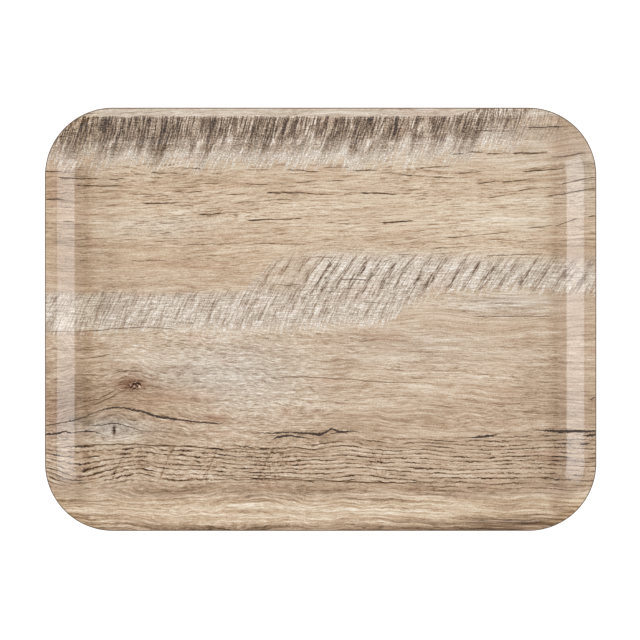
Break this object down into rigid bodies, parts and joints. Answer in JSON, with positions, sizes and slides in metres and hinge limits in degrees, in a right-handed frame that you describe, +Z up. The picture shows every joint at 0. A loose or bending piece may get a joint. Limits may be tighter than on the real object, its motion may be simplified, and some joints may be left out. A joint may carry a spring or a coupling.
{
  "type": "serving tray",
  "caption": "Rectangular wood-effect laminate serving tray with rounded corners, a level lip, sloping walls and a flat floor for carrying cups and plates.",
  "frame": {"origin": "on the table under the middle of the tray, in the plane of the flat underside", "axes": "+X along the tray and along the printed grain, +Y across the tray, +Z up"},
  "size_m": [0.43, 0.33, 0.02],
  "materials": {
    "melamine_overlay": "clear melamine resin, gloss",
    "oak_print": "printed weathered oak with saw marks, knots and cracks, pressed under clear melamine",
    "birch_long": "rotary-cut birch veneer, grain along the tray",
    "birch_cross": "rotary-cut birch veneer, grain across the tray",
    "backing_print": "printed straight-grained oak, satin",
    "melamine_back": "clear melamine resin, satin",
    "edge_lacquer": "dark brown edge lacquer, semi-gloss"
  },
  "bodies": {
    "root": {"wear_overlay": "melamine_overlay", "decor_sheet": "oak_print", "face_veneer": "birch_long", "upper_crossband": "birch_cross", "centre_veneer": "birch_long", "lower_crossband": "birch_cross", "back_veneer": "birch_long", "backing_sheet": "backing_print", "bottom_overlay": "melamine_back", "edge_seal": "edge_lacquer"}
  },
  "joints": []
}
